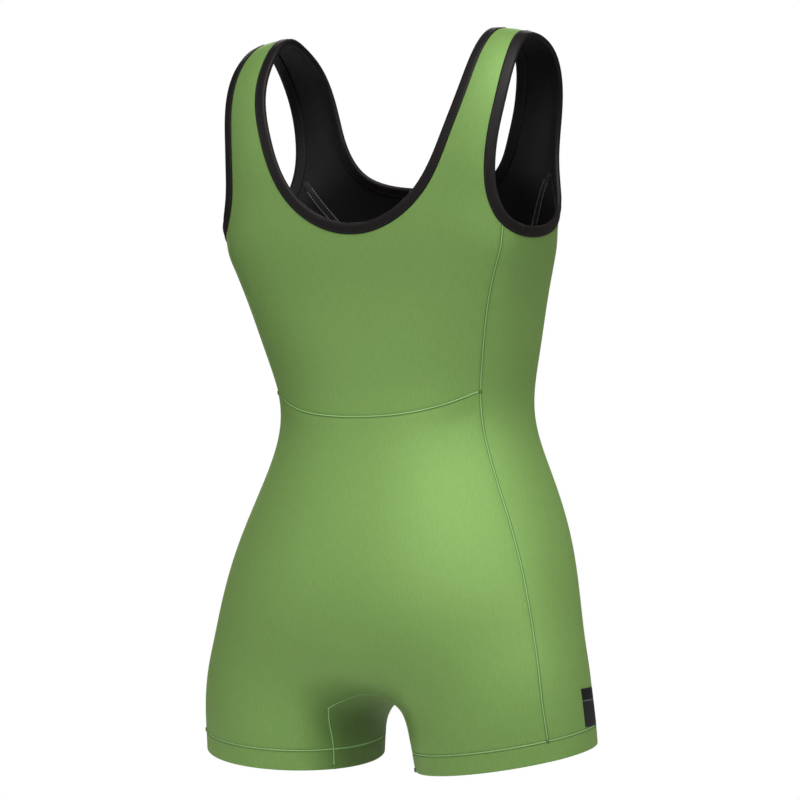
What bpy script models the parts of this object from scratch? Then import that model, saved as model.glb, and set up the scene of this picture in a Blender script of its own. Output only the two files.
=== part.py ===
"""A shorty wetsuit filled out with no wearer: shaped neoprene panels, leg bands and folded edging."""

import math

import bmesh
import bpy
import numpy as np

for thing in list(bpy.data.objects):
    bpy.data.objects.remove(thing)
parts = bpy.data.collections.new("shorty_wetsuit")
bpy.context.scene.collection.children.link(parts)

# Sizes are in millimetres and degrees. The front faces -Y, +X is the wearer's left, and the
# origin is the middle of the shoulder line, which is where the wearer holds the suit up.
METRES = 0.001
WALL = 2.5
SEAM_GAP = 0.3
EDGE_CLEAR = 0.4
EDGING_THICK = 1.0
EDGING_WIDE = 8.0
EDGING_ROUND = 0.7
LABEL_THICK = 0.7

# Cells round half of the body, from the back centre to the front centre.
NECK_CELLS = 6
STRAP_CELLS = 4
SIDE_CELLS = 7
BACK_CELLS = NECK_CELLS + STRAP_CELLS
ROUND_CELLS = 2 * BACK_CELLS + SIDE_CELLS
CROTCH_CELLS = 3
GUSSET_CELLS = 6
STRAP_LONG_CELLS = 12
# Points of a smooth line between two rows of its table, and round half of a body section.
LINE_STEPS = 24
RING_POINTS = 181
# Rings of cells next to the crotch's fold, and strap stations at each end, that may relax.
CROTCH_FREE = 8
STRAP_FREE = 2
# Two edges of a panel that turn less than this cosine meet in a smooth line, not in a corner.
SMOOTH_COSINE = 0.9

# The size chart: how far round the suit is at each level, where it is widest, and how far it
# reaches to the back and to the front. The powers square off its back and its front, and the seam
# columns are the side panel's edges, as angles round the section from the back centre.
# Columns: z, girth, side y, back y, front y, back power, front power, rear seam, front seam.
SIZE_CHART = (
    (-200, 870, 20, 69, -113, 3.90, 3.0, 54, 125),
    (-250, 810, 10, 65, -127, 3.10, 2.8, 55, 124),
    (-300, 740, -15, 64, -117, 2.60, 2.6, 55, 122),
    (-360, 690, -35, 65, -111, 2.35, 2.4, 57, 120),
    (-420, 780, -40, 78, -116, 2.30, 2.3, 58, 118),
    (-480, 890, -30, 95, -121, 2.30, 2.2, 61, 117),
    (-540, 950, -20, 104, -119, 2.40, 2.1, 63, 117),
    (-600, 970, -10, 98, -111, 2.40, 2.1, 63, 117),
    (-650, 960, -5, 88, -100, 2.40, 2.1, 63, 117),
)
# Rounds that turn a girth into a half width, and how much of what is missing each round adds.
GIRTH_ROUNDS = 20
GIRTH_SHARE = 0.55

# Rows of the trunk, each dipping to the back centre.
# Columns: z at the side, dip at the back centre, cells to the next row.
TRUNK_ROWS = (
    (-222, 0, 5),
    (-290, 11, 3),
    (-337, 24, 3),
    (-385, 17, 4),
    (-450, 7, 4),
    (-510, 0, 3),
    (-560, 0, 5),
)
DIP_POWER = 2.3
SHOULDER_ROWS = 3

# Leg sections, with the level of each ring at the middle of the leg.
# Columns: z, centre x, centre y, half width, half depth.
LEG_SECTIONS = (
    (-560, 104, -4, 90, 104),
    (-600, 107, -4, 88, 97),
    (-630, 110, -5, 86.5, 91),
    (-658, 112.5, -8, 85.5, 87),
    (-677, 114, -10, 85, 85),
)
CROTCH_LEVEL = -623
BAND_LEVEL = -658
HEM_LEVEL = -677
THIGH_CELLS = 3
BAND_CELLS = 2
# How fast the low rings rise to the outside and to the front, and the seams round a leg.
OUTER_RISE = 0.10
FRONT_RISE = 0.125
LEG_CORNER = 147
LEG_REAR_SEAM = 32
LEG_FRONT_SEAM = -45

# The centre line from the back, under the crotch, to the front. Columns: y, z.
CROTCH_LINE = (
    (104.0, -540),
    (103.5, -560),
    (101.5, -578),
    (92.0, -596),
    (72.0, -609),
    (45.0, -618),
    (14.0, -625),
    (-20.0, -628.5),
    (-52.0, -625),
    (-78.0, -617),
    (-98.0, -605),
    (-110.0, -590),
    (-116.0, -574),
    (-117.0, -560),
    (-119.0, -540),
)
CROTCH_MARKS = (1, 5, 9, 13)

# The folds of the edging: neck from the back centre to the front centre, armhole from the
# shoulder seam down the back and up the front. The marks are the rows where a run of cells ends.
# Columns: x, y, z.
NECK_EDGE = (
    (0, 70, -182),
    (38, 70, -172.5),
    (71, 69, -144),
    (92, 64, -99),
    (104, 53, -59),
    (107.5, 28, -21),
    (109, -4, -1.5),
    (108.5, -34, -11),
    (105, -57, -29),
    (100, -66, -51),
    (94.5, -69.5, -77),
    (88.5, -70, -99),
    (83, -73.5, -114),
    (74.5, -77, -127),
    (58, -82, -137),
    (30, -86.5, -142.5),
    (0, -88, -144),
)
NECK_MARKS = (0, 2, 6, 13, 16)
ARM_EDGE = (
    (148, -10, -8),
    (151.5, 23, -26),
    (152.5, 40, -50),
    (150.5, 49.5, -77),
    (146.5, 55.5, -105),
    (144.5, 58, -132),
    (145.5, 57, -157),
    (151, 53, -174),
    (157.5, 43, -184),
    (162.5, 21, -188),
    (163, -6, -186),
    (161, -30, -178.5),
    (155, -50, -163),
    (147.5, -62, -141),
    (144, -67, -121),
    (144.5, -69.5, -98),
    (147.5, -69, -72),
    (151.5, -60, -42),
    (152, -38, -16),
    (148, -10, -8),
)
ARM_MARKS = (0, 7, 12, 19)
# How far a strap bows out between its edges, at the back, the shoulder seam and the front.
STRAP_CROWNS = (5.0, 2.5, 11.0)

# The label, in cells of the right side panel.
LABEL_COLUMNS = (BACK_CELLS + 3.1, BACK_CELLS + 4, BACK_CELLS + 4.9)
LABEL_ROWS = (-3.3, -3, -2, -1, -0.25)

GREEN = (0.13, 0.30, 0.07)
BLACK = (0.012, 0.011, 0.010)
INK = (0.016, 0.018, 0.022)


def spline(knots, values, at):
    """The natural cubic through values at knots, read at each of `at`."""
    knots = np.asarray(knots, float)
    values = np.asarray(values, float).reshape(len(knots), -1)
    gaps = np.diff(knots)
    slopes = np.diff(values, axis=0) / gaps[:, None]
    bends = np.zeros_like(values)
    size = len(knots) - 2
    matrix = np.zeros((size, size))
    for row in range(size):
        matrix[row, row] = 2 * (gaps[row] + gaps[row + 1])
        if row:
            matrix[row, row - 1] = gaps[row]
        if row < size - 1:
            matrix[row, row + 1] = gaps[row + 1]
    bends[1:-1] = np.linalg.solve(matrix, 6 * np.diff(slopes, axis=0))
    at = np.atleast_1d(np.asarray(at, float))
    cell = np.clip(np.searchsorted(knots, at) - 1, 0, size)
    gap = gaps[cell][:, None]
    low = ((at - knots[cell])[:, None]) / gap
    high = 1 - low
    lifted = (high**3 - high) * bends[cell] + (low**3 - low) * bends[cell + 1]
    return high * values[cell] + low * values[cell + 1] + lifted * gap**2 / 6


def table_at(table, z):
    """A table's other columns at level z."""
    rows = np.array(sorted(table), float)
    level = min(max(z, rows[0, 0]), rows[-1, 0])
    return spline(rows[:, 0], rows[:, 1:], level)[0]


def lengths(points):
    """Distance along a polyline at each of its points."""
    steps = np.linalg.norm(np.diff(points, axis=0), axis=1)
    return np.concatenate([[0], np.cumsum(steps)])


def along(points, distances):
    """Points of a polyline at the given distances along it."""
    at = lengths(points)
    return np.stack([np.interp(distances, at, axis) for axis in points.T], axis=-1)


def smooth_line(rows, ends):
    """A fine polyline through the rows, bent at its ends as the neighbours in `ends` ask."""
    points = np.array([ends[0], *rows, ends[1]], float)
    knots = lengths(points)
    at = [knots[1]]
    for start, stop in zip(knots[1:-2], knots[2:-1]):
        at.extend(np.linspace(start, stop, LINE_STEPS + 1)[1:])
    return spline(knots, points, at)


def split(line, marks, cells):
    """The line's points, with equal cells between each pair of marks."""
    at = lengths(line)
    stops = [at[mark * LINE_STEPS] for mark in marks]
    distances = [stops[0]]
    for start, stop, count in zip(stops, stops[1:], cells):
        distances.extend(np.linspace(start, stop, count + 1)[1:])
    return along(line, distances)


def smoothstep(value):
    value = min(max(value, 0.0), 1.0)
    return value * value * (3 - 2 * value)


def half_ring(half, side_y, back, front, back_power, front_power):
    """Half a body section, from the back centre to the front centre, with each point's angle."""
    angle = np.linspace(0, math.pi, RING_POINTS)
    sine, cosine = np.sin(angle), np.cos(angle)
    rear_half = cosine >= 0
    power = np.where(rear_half, back_power, front_power)
    scale = (sine**power + np.abs(cosine) ** power) ** (-1 / power)
    depth = np.where(rear_half, back - side_y, side_y - front)
    return angle, np.stack([half * sine * scale, side_y + depth * cosine * scale], axis=-1)


def section_of(row):
    """A row of the size chart, with the half width that gives its girth."""
    z, girth, *shape = row
    half = girth / math.tau
    for _ in range(GIRTH_ROUNDS):
        ring = half_ring(half, *shape[:5])[1]
        half += GIRTH_SHARE * (girth / 2 - lengths(ring)[-1])
    return (z, half, *shape)


SECTIONS = tuple(section_of(row) for row in SIZE_CHART)


def trunk_point(z, column):
    """A point of the trunk's section at level z, by column round the half body."""
    *shape, rear, fore = table_at(SECTIONS, z)
    angle, ring = half_ring(*shape)
    at = lengths(ring)
    stops = np.interp(np.radians([0, rear, fore, 180]), angle, at)
    columns = (0, BACK_CELLS, BACK_CELLS + SIDE_CELLS, ROUND_CELLS)
    x, y = along(ring, np.interp(column, columns, stops))
    return np.array([x, y, z])


def leg_angle(column):
    """A column's place round the leg, from the outside towards the back."""
    stops = (CROTCH_CELLS, BACK_CELLS, BACK_CELLS + SIDE_CELLS, ROUND_CELLS - CROTCH_CELLS)
    return np.interp(column, stops, (LEG_CORNER, LEG_REAR_SEAM, LEG_FRONT_SEAM, -LEG_CORNER))


def tilted(x, y, level):
    """The level of a ring at (x, y): low rows rise to the outside and to the front."""
    centre_x, centre_y, _, _ = table_at(LEG_SECTIONS, level)
    share = smoothstep((TRUNK_ROWS[-1][0] - level) / (TRUNK_ROWS[-1][0] - BAND_LEVEL))
    return level + share * (OUTER_RISE * (x - centre_x) - FRONT_RISE * (y - centre_y))


def leg_point(level, angle):
    centre_x, centre_y, half_width, half_depth = table_at(LEG_SECTIONS, level)
    turn = math.radians(angle)
    x = centre_x + half_width * math.cos(turn)
    y = centre_y + half_depth * math.sin(turn)
    return np.array([x, y, tilted(x, y, level)])


# Rows: the shoulder rows, the trunk rows, then the leg rows.
row_levels = []
for here, after in zip(TRUNK_ROWS, TRUNK_ROWS[1:] + ((CROTCH_LEVEL, 0, 1),)):
    for step in range(here[2]):
        share = step / here[2]
        row_levels.append([here[k] + (after[k] - here[k]) * share for k in (0, 1)])
side_levels = [row[0] for row in row_levels]
dip_knots = [-row[0] for row in TRUNK_ROWS]
dips = spline(dip_knots, [row[1] for row in TRUNK_ROWS], [-level for level in side_levels])[:, 0]
THIGH_ROW = SHOULDER_ROWS + sum(row[2] for row in TRUNK_ROWS[:-1])
CROTCH_ROW = SHOULDER_ROWS + len(side_levels)
WAIST_ROW = SHOULDER_ROWS + TRUNK_ROWS[0][2] + TRUNK_ROWS[1][2]
BAND_ROW = CROTCH_ROW + THIGH_CELLS
HEM_ROW = BAND_ROW + BAND_CELLS
leg_levels = list(np.linspace(CROTCH_LEVEL, BAND_LEVEL, THIGH_CELLS + 1))
leg_levels += list(np.linspace(BAND_LEVEL, HEM_LEVEL, BAND_CELLS + 1))[1:]


# Keys of the net's points. Side is 1 on the wearer's left, -1 on the right and 0 on the centre.
def shell(side, column, row):
    return ("shell", 0 if column in (0, ROUND_CELLS) else side, column, row)


def strap(side, across, station):
    if station == 0:
        return shell(side, NECK_CELLS + across, 0)
    if station == 2 * STRAP_LONG_CELLS:
        return shell(side, ROUND_CELLS - NECK_CELLS - across, 0)
    return ("strap", side, across, station)


def gusset(side, out, across):
    down = CROTCH_ROW + max(out - CROTCH_CELLS, 0)
    if across == 0:
        return shell(side, min(out, CROTCH_CELLS), down)
    if across == GUSSET_CELLS:
        return shell(side, ROUND_CELLS - min(out, CROTCH_CELLS), down)
    return ("gusset", side if out else 0, out, across)


points = {}
faces = []
free = set()


def place(maker, side, first, second, point):
    points[maker(side, first, second)] = np.array([side * point[0], point[1], point[2]])


def quad(panel, side, corners):
    faces.append((panel, corners if side > 0 else corners[::-1]))


def sided(name, side):
    return f"{name}_{'left' if side > 0 else 'right'}"


def mirrored(row):
    return (-row[0], row[1], row[2])


neck_line = smooth_line(NECK_EDGE, (mirrored(NECK_EDGE[1]), mirrored(NECK_EDGE[-2])))
arm_line = smooth_line(ARM_EDGE, (ARM_EDGE[-2], ARM_EDGE[1]))
neck_runs = (NECK_CELLS, STRAP_LONG_CELLS, STRAP_LONG_CELLS, NECK_CELLS)
neck_points = split(neck_line, NECK_MARKS, neck_runs)
strap_backs = split(arm_line, ARM_MARKS[:2], (STRAP_LONG_CELLS,))[::-1]
strap_fronts = split(arm_line, ARM_MARKS[2:], (STRAP_LONG_CELLS,))[::-1]
arm_points = split(arm_line, ARM_MARKS[1:3], (SIDE_CELLS,))
strap_neck = neck_points[NECK_CELLS:-NECK_CELLS]
strap_arm = np.concatenate([strap_backs, strap_fronts[1:]])
crotch_line = smooth_line(CROTCH_LINE[1:-1], (CROTCH_LINE[0], CROTCH_LINE[-1]))
drop_cells = CROTCH_ROW - THIGH_ROW
crotch_marks = [mark - 1 for mark in CROTCH_MARKS]
crotch_points = split(crotch_line, crotch_marks, (drop_cells, GUSSET_CELLS, drop_cells))


def strap_point(across, station):
    """A point of the strap, crowned between its two edges."""
    share = across / STRAP_CELLS
    inner, outer = strap_neck[station], strap_arm[station]
    before, after = max(station - 1, 0), min(station + 1, 2 * STRAP_LONG_CELLS)
    run = strap_neck[after] + strap_arm[after] - strap_neck[before] - strap_arm[before]
    up = np.cross(run, outer - inner)
    crown = np.interp(station, (0, STRAP_LONG_CELLS, 2 * STRAP_LONG_CELLS), STRAP_CROWNS)
    rise = crown * 4 * share * (1 - share)
    return inner + (outer - inner) * share + up / np.linalg.norm(up) * rise


def top_point(column):
    """A point of the top row: neck edge, strap base, armhole edge, and the same to the front."""
    last = 2 * STRAP_LONG_CELLS
    if column <= NECK_CELLS:
        return neck_points[column]
    if column < BACK_CELLS:
        return strap_point(column - NECK_CELLS, 0)
    if column <= ROUND_CELLS - BACK_CELLS:
        return arm_points[column - BACK_CELLS]
    if column < ROUND_CELLS - NECK_CELLS:
        return strap_point(ROUND_CELLS - NECK_CELLS - column, last)
    return neck_points[len(neck_points) - 1 - (ROUND_CELLS - column)]


def shoulder_point(row, column):
    """A point between the top row and the first trunk row, carried onto the body's section."""
    top, first = top_point(column), trunk_row_point(SHOULDER_ROWS, column)
    share = row / SHOULDER_ROWS
    x, y, z = top + (first - top) * share
    half, side_y, back, front, back_power, front_power = table_at(SECTIONS, z)[:6]
    power = back_power if y >= side_y else front_power
    depth = back - side_y if y >= side_y else side_y - front
    reach = ((abs(x) / half) ** power + (abs(y - side_y) / depth) ** power) ** (1 / power)
    scale = 1 + (1 / reach - 1) * smoothstep(2 * share)
    return np.array([x * scale, side_y + (y - side_y) * scale, z])


def trunk_row_point(row, column):
    level = side_levels[row - SHOULDER_ROWS]
    share = min(column / BACK_CELLS, 1)
    return trunk_point(level - dips[row - SHOULDER_ROWS] * (1 - share**DIP_POWER), column)


def low_point(row, column):
    """A point between the trunk's last section and the leg's sections."""
    level = (side_levels + leg_levels)[row - SHOULDER_ROWS]
    on_leg = leg_point(level, leg_angle(column))
    on_trunk = trunk_point(level, column)
    on_trunk[2] = tilted(on_trunk[0], on_trunk[1], level)
    share = smoothstep((row - THIGH_ROW) / (BAND_ROW - THIGH_ROW))
    return on_trunk + (on_leg - on_trunk) * share


for side in (1, -1):
    for column in range(ROUND_CELLS + 1):
        for row in range(SHOULDER_ROWS):
            place(shell, side, column, row, shoulder_point(row, column))
        for row in range(SHOULDER_ROWS, THIGH_ROW + 1):
            place(shell, side, column, row, trunk_row_point(row, column))
        free.add(shell(side, column, 1))
        for row in range(THIGH_ROW + 1, HEM_ROW + 1):
            inner = min(column, ROUND_CELLS - column)
            if row <= CROTCH_ROW or inner >= CROTCH_CELLS:
                place(shell, side, column, row, low_point(row, column))
                if inner < CROTCH_FREE and row <= CROTCH_ROW + 1:
                    free.add(shell(side, column, row))
    for station in range(2 * STRAP_LONG_CELLS + 1):
        for across in range(STRAP_CELLS + 1):
            place(strap, side, across, station, strap_point(across, station))
            near = min(station, 2 * STRAP_LONG_CELLS - station)
            if 0 < across < STRAP_CELLS and near < STRAP_FREE:
                free.add(strap(side, across, station))
    for out in range(CROTCH_CELLS + HEM_ROW - CROTCH_ROW + 1):
        rear, fore = points[gusset(side, out, 0)], points[gusset(side, out, GUSSET_CELLS)]
        for across in range(1, GUSSET_CELLS):
            share = across / GUSSET_CELLS
            if out <= CROTCH_CELLS:
                point = rear + (fore - rear) * share
                place(gusset, side, out, across, (abs(point[0]), point[1], point[2]))
            else:
                turn = LEG_CORNER + (360 - 2 * LEG_CORNER) * share
                place(gusset, side, out, across, leg_point(leg_levels[out - CROTCH_CELLS], turn))
            if out <= CROTCH_CELLS + 1:
                free.add(gusset(side, out, across))

# The centre line holds its place while the cloth round it relaxes.
for step, (y, z) in enumerate(crotch_points):
    if step <= drop_cells:
        held = shell(1, 0, THIGH_ROW + step)
    elif step < drop_cells + GUSSET_CELLS:
        held = gusset(1, 0, step - drop_cells)
    else:
        held = shell(1, ROUND_CELLS, CROTCH_ROW - (step - drop_cells - GUSSET_CELLS))
    points[held] = np.array([0.0, y, z])
    free.discard(held)

# Panels, as faces of the net.
ROUND_CELL = ((0, 0), (1, 0), (1, 1), (0, 1))
for side in (1, -1):
    for column in range(ROUND_CELLS):
        for row in range(HEM_ROW):
            inner = min(column, ROUND_CELLS - 1 - column)
            if row >= CROTCH_ROW and inner < CROTCH_CELLS:
                continue
            if row >= BAND_ROW:
                panel = sided("leg_band", side)
            elif column >= BACK_CELLS + SIDE_CELLS:
                panel = "front_panel"
            elif column >= BACK_CELLS:
                panel = sided("side_panel", side)
            else:
                panel = "back_bodice" if row < WAIST_ROW else "back_lower"
            quad(panel, side, [shell(side, column + right, row + down) for right, down in ROUND_CELL])
    for station in range(2 * STRAP_LONG_CELLS):
        panel = "back_bodice" if station < STRAP_LONG_CELLS else "front_panel"
        for across in range(STRAP_CELLS):
            corners = [strap(side, across + right, station + on) for right, on in ROUND_CELL[::-1]]
            quad(panel, side, corners)
    for out in range(CROTCH_CELLS + HEM_ROW - CROTCH_ROW):
        panel = "gusset" if out < CROTCH_CELLS + THIGH_CELLS else sided("leg_band", side)
        for across in range(GUSSET_CELLS):
            quad(panel, side, [gusset(side, out + on, across + by) for on, by in ROUND_CELL])

keys = sorted({key for _, corners in faces for key in corners}, key=str)
number = {key: index for index, key in enumerate(keys)}
net = np.array([points[key] for key in keys])
cells = np.array([[number[key] for key in corners] for _, corners in faces])
edge_uses = {}
for index, cell in enumerate(cells):
    for start, end in zip(cell, np.roll(cell, -1)):
        edge_uses.setdefault((min(start, end), max(start, end)), []).append(index)
on_rim = {end for ends, uses in edge_uses.items() if len(uses) == 1 for end in ends}

# The cloth relaxes: each free point moves so the net bends as little as it can.
smoothing = np.zeros((len(keys), len(keys)))
for start, end in edge_uses:
    for here, there in ((start, end), (end, start)):
        if here not in on_rim:
            smoothing[here, there] = 1
counts = smoothing.sum(axis=1)
inside = counts > 0
smoothing[inside] /= -counts[inside][:, None]
smoothing[np.flatnonzero(inside), np.flatnonzero(inside)] = 1
loose = np.array(sorted(number[key] for key in free if number[key] not in on_rim))
held = np.setdiff1d(np.arange(len(keys)), loose)
near = inside & (np.abs(smoothing[:, loose]).sum(axis=1) > 0)
push = -smoothing[near][:, held] @ net[held]
net[loose] = np.linalg.lstsq(smoothing[near][:, loose], push, rcond=None)[0]

# Normals of the whole net, so neighbouring panels share them along a seam.
diagonals = np.cross(net[cells[:, 2]] - net[cells[:, 0]], net[cells[:, 3]] - net[cells[:, 1]])
normals = np.zeros_like(net)
for corner in range(4):
    np.add.at(normals, cells[:, corner], diagonals)
normals /= np.linalg.norm(normals, axis=1)[:, None]


def edge_pull(start, end, uses):
    """How far a panel stops short of the net's edge."""
    if len(uses) == 2:
        return SEAM_GAP / 2
    rows = {keys[point][3] for point in (start, end) if keys[point][0] == "shell"}
    legs = {keys[point][0] for point in (start, end)}
    at_hem = rows == {HEM_ROW} or "gusset" in legs
    return 0.0 if at_hem else EDGING_THICK + EDGE_CLEAR


def pulled(members):
    """Where the boundary points of these cells go, each boundary edge moved in by its own pull."""
    border = {}
    chosen = set(members)
    for index in members:
        cell = cells[index]
        for start, end in zip(cell, np.roll(cell, -1)):
            uses = edge_uses[(min(start, end), max(start, end))]
            if len(uses) == 1 or not chosen.issuperset(uses):
                run = net[end] - net[start]
                border.setdefault(start, []).append((run, edge_pull(start, end, uses)))
                border.setdefault(end, []).append((run, edge_pull(start, end, uses)))
    moved = {}
    for point, runs in border.items():
        normal = normals[point]
        ways = [np.cross(normal, run) for run, _ in runs]
        ways = [way / np.linalg.norm(way) for way in ways]
        pulls = np.array([pull for _, pull in runs])
        if ways[0] @ ways[1] > SMOOTH_COSINE:
            way = ways[0] + ways[1]
            shift = way / np.linalg.norm(way) * pulls.mean()
        else:
            flat = np.array([*ways, normal])
            shift = np.linalg.solve(flat, np.array([*pulls, 0.0]))
        moved[point] = net[point] + shift
    return moved


def make(name, colour, rough, vertices, surfaces):
    """One closed object with its own material."""
    mesh = bpy.data.meshes.new(name)
    work = bmesh.new()
    made = [work.verts.new(tuple(vertex * METRES)) for vertex in vertices]
    for surface in surfaces:
        work.faces.new([made[index] for index in surface])
    bmesh.ops.recalc_face_normals(work, faces=work.faces)
    work.to_mesh(mesh)
    work.free()
    mesh.shade_smooth()
    material = bpy.data.materials.new(name)
    material.use_nodes = True
    shader = material.node_tree.nodes["Principled BSDF"]
    shader.inputs["Base Color"].default_value = (*colour, 1)
    shader.inputs["Roughness"].default_value = rough
    mesh.materials.append(material)
    body = bpy.data.objects.new(name, mesh)
    parts.objects.link(body)
    return body


def shorter(corners, where):
    """Whether a quad's first diagonal is its shorter one."""
    a, b, c, d = (where[corner] for corner in corners)
    return np.linalg.norm(a - c) <= np.linalg.norm(b - d)


def triangles(corners, from_first):
    """A quad as two triangles, cut from its first corner or from its second."""
    a, b, c, d = corners
    return ((a, b, c), (a, c, d)) if from_first else ((a, b, d), (b, c, d))


def rim_turn(cell):
    """The place in a cell of its one corner on an open edge, where the edge turns past the cell."""
    on_edge = [place for place, point in enumerate(cell) if point in on_rim]
    return on_edge[0] if len(on_edge) == 1 else None


cuts = []
for cell in cells:
    turn = rim_turn(cell)
    cuts.append(shorter(cell, net) if turn is None else turn % 2 == 0)


def panel_solid(name):
    """A panel's wall: its cells outside, the same cells moved in by the wall, and its cut edges.

    The cut edges of two panels that meet are split along the same diagonals.
    """
    members = [index for index, (panel, _) in enumerate(faces) if panel == name]
    moved = pulled(members)
    used = sorted({int(point) for index in members for point in cells[index]})
    order = {point: index for index, point in enumerate(used)}
    outside = np.array([moved.get(point, net[point]) for point in used])
    inside_points = outside - normals[used] * WALL
    count = len(used)
    surfaces = []
    chosen = set(members)
    for index in members:
        cell = [order[point] for point in cells[index]]
        for piece in triangles(cell, cuts[index]):
            surfaces.append(piece)
            surfaces.append(tuple(point + count for point in piece[::-1]))
        for start, end in zip(cells[index], np.roll(cells[index], -1)):
            uses = edge_uses[(min(start, end), max(start, end))]
            if len(uses) == 1 or not chosen.issuperset(uses):
                a, b = order[start], order[end]
                edge = (a, a + count, b + count, b)
                surfaces.extend(triangles(edge, start > end))
    return make(name, GREEN, 0.45, np.concatenate([outside, inside_points]), surfaces)


panel_names = sorted({panel for panel, _ in faces})
for panel_name in panel_names:
    panel_solid(panel_name)

rim_moves = pulled(range(len(cells)))
neighbours = {}
for start, end in edge_uses:
    neighbours.setdefault(start, set()).add(end)
    neighbours.setdefault(end, set()).add(start)


def ways_in(before, point, after):
    """The net points that an edge point's grid lines lead to: one, or three where the edge turns."""
    inner = [other for other in neighbours[point] if other not in on_rim]
    if len(inner) == 1:
        return inner
    turned = next(cell for cell in cells if point in cell and rim_turn(cell) is not None)
    first = next(other for other in inner if other in cells[edge_cell(before, point)])
    last = next(other for other in inner if other != first)
    return [first, turned[(rim_turn(turned) + 2) % 4], last]


def edge_cell(start, end):
    return edge_uses[(min(start, end), max(start, end))][0]


def cut_from(point, after):
    """Whether the cell on this bit of edge is cut from `point`, not from the point after it."""
    index = edge_cell(point, after)
    return (list(cells[index]).index(point) % 2 == 0) == cuts[index]


# The edging's outline. Columns: whether the point is at a leg's end, not at the wall's edge, how
# far it reaches into the panel, how high it stands over the cloth.
OUTER = EDGE_CLEAR + EDGING_THICK
EDGING_OUTLINE = (
    (True, 0, EDGE_CLEAR),
    (True, 0, OUTER),
    (False, 0, OUTER),
    (False, -EDGING_ROUND * OUTER, OUTER - EDGING_ROUND),
    (False, -OUTER, -WALL / 2),
    (False, -EDGING_ROUND * OUTER, EDGING_ROUND - WALL - OUTER),
    (False, 0, -WALL - OUTER),
    (True, 0, -WALL - OUTER),
    (True, 0, -WALL - EDGE_CLEAR),
    (False, -EDGE_CLEAR, -WALL - EDGE_CLEAR),
    (False, -EDGE_CLEAR, EDGE_CLEAR),
)


def part_way_in(rim, point, leads_to, share):
    """A place on the panel part of the way in from its edge, with its normal."""
    normal = normals[point] + (normals[leads_to] - normals[point]) * share
    return rim + (net[leads_to] - rim) * share, normal / np.linalg.norm(normal)


def leg_faces(far, middle, rim, next_far, next_rim, from_rim):
    """The leg between two stations, cut where the panel's own cell under it is cut."""
    if middle is None:
        return [(far, rim, next_far)]
    if from_rim:
        return [(far, rim, middle), (middle, rim, next_far), (rim, next_rim, next_far)]
    return [(far, rim, next_rim), (far, next_rim, middle), (middle, next_rim, next_far)]


def edging(name, loop):
    """A folded strip round an open edge, its legs lying on both faces of the wall."""
    vertices = []

    def add(point):
        vertices.append(point)
        return len(vertices) - 1

    stations = []
    for step, point in enumerate(loop):
        rim = rim_moves[point]
        way = (rim - net[point]) / np.linalg.norm(rim - net[point])
        folded = {corner: add(rim + way * into + normals[point] * height)
                  for corner, (at_end, into, height) in enumerate(EDGING_OUTLINE) if not at_end}
        for leads_to in ways_in(loop[step - 1], point, loop[(step + 1) % len(loop)]):
            share = EDGING_WIDE / ((net[leads_to] - rim) @ way)
            far, normal = part_way_in(rim, point, leads_to, share)
            ends = {corner: add(far + normal * height)
                    for corner, (at_end, _, height) in enumerate(EDGING_OUTLINE) if at_end}
            stations.append((point, leads_to, share, {**folded, **ends}))
    surfaces = []
    for here, after in zip(stations, stations[1:] + stations[:1]):
        point, leads_to, share, section = here
        next_point, next_leads_to, next_share, next_section = after
        middles = {}
        from_rim = point != next_point and cut_from(point, next_point)
        if point != next_point:
            start, stop = (point, next_leads_to) if from_rim else (next_point, leads_to)
            crossing, normal = part_way_in(rim_moves[start], start, stop, (share + next_share) / 2)
            middles = {corner: add(crossing + normal * height)
                       for corner, (at_end, _, height) in enumerate(EDGING_OUTLINE) if at_end}
        for corner, (at_end, _, _) in enumerate(EDGING_OUTLINE):
            beside = (corner + 1) % len(EDGING_OUTLINE)
            beside_end = EDGING_OUTLINE[beside][0]
            if at_end != beside_end:
                far, rim = (corner, beside) if at_end else (beside, corner)
                pieces = leg_faces(section[far], middles.get(far), section[rim],
                                   next_section[far], next_section[rim], from_rim)
                surfaces.extend(piece if at_end else piece[::-1] for piece in pieces)
                continue
            rings = [section, next_section]
            if at_end and middles:
                rings.insert(1, middles)
            for ring, next_ring in zip(rings, rings[1:]):
                corners = (ring[corner], ring[beside], next_ring[beside], next_ring[corner])
                pieces = triangles(corners, shorter(corners, vertices))
                surfaces.extend(piece for piece in pieces if len(set(piece)) == 3)
    make(name, BLACK, 0.7, vertices, surfaces)


def shell_run(side, columns):
    return [number[shell(side, column, 0)] for column in columns]


def strap_run(side, across, stations):
    return [number[strap(side, across, station)] for station in stations]


strap_end = 2 * STRAP_LONG_CELLS
left_half = shell_run(1, range(NECK_CELLS)) + strap_run(1, 0, range(strap_end))
left_half += shell_run(1, range(ROUND_CELLS - NECK_CELLS, ROUND_CELLS))
right_half = shell_run(-1, range(ROUND_CELLS, ROUND_CELLS - NECK_CELLS, -1))
right_half += strap_run(-1, 0, range(strap_end, 0, -1)) + shell_run(-1, range(NECK_CELLS, 0, -1))
edging("neck_binding", left_half + right_half)
for side in (1, -1):
    below = range(BACK_CELLS, ROUND_CELLS - BACK_CELLS)
    above = strap_run(side, STRAP_CELLS, range(strap_end, 0, -1))
    edging(sided("armhole_binding", side), shell_run(side, below) + above)


def surface_at(column, row):
    """A point of the right side panel and its normal, by fractional column and row."""
    low_column, low_row = math.floor(column), math.floor(row)
    across, down = column - low_column, row - low_row
    point = np.zeros(3)
    normal = np.zeros(3)
    for right, below in ((0, 0), (1, 0), (0, 1), (1, 1)):
        weight = (across if right else 1 - across) * (down if below else 1 - down)
        if weight:
            corner = number[shell(-1, low_column + right, low_row + below)]
            point += weight * net[corner]
            normal += weight * normals[corner]
    return point, normal / np.linalg.norm(normal)


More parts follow.
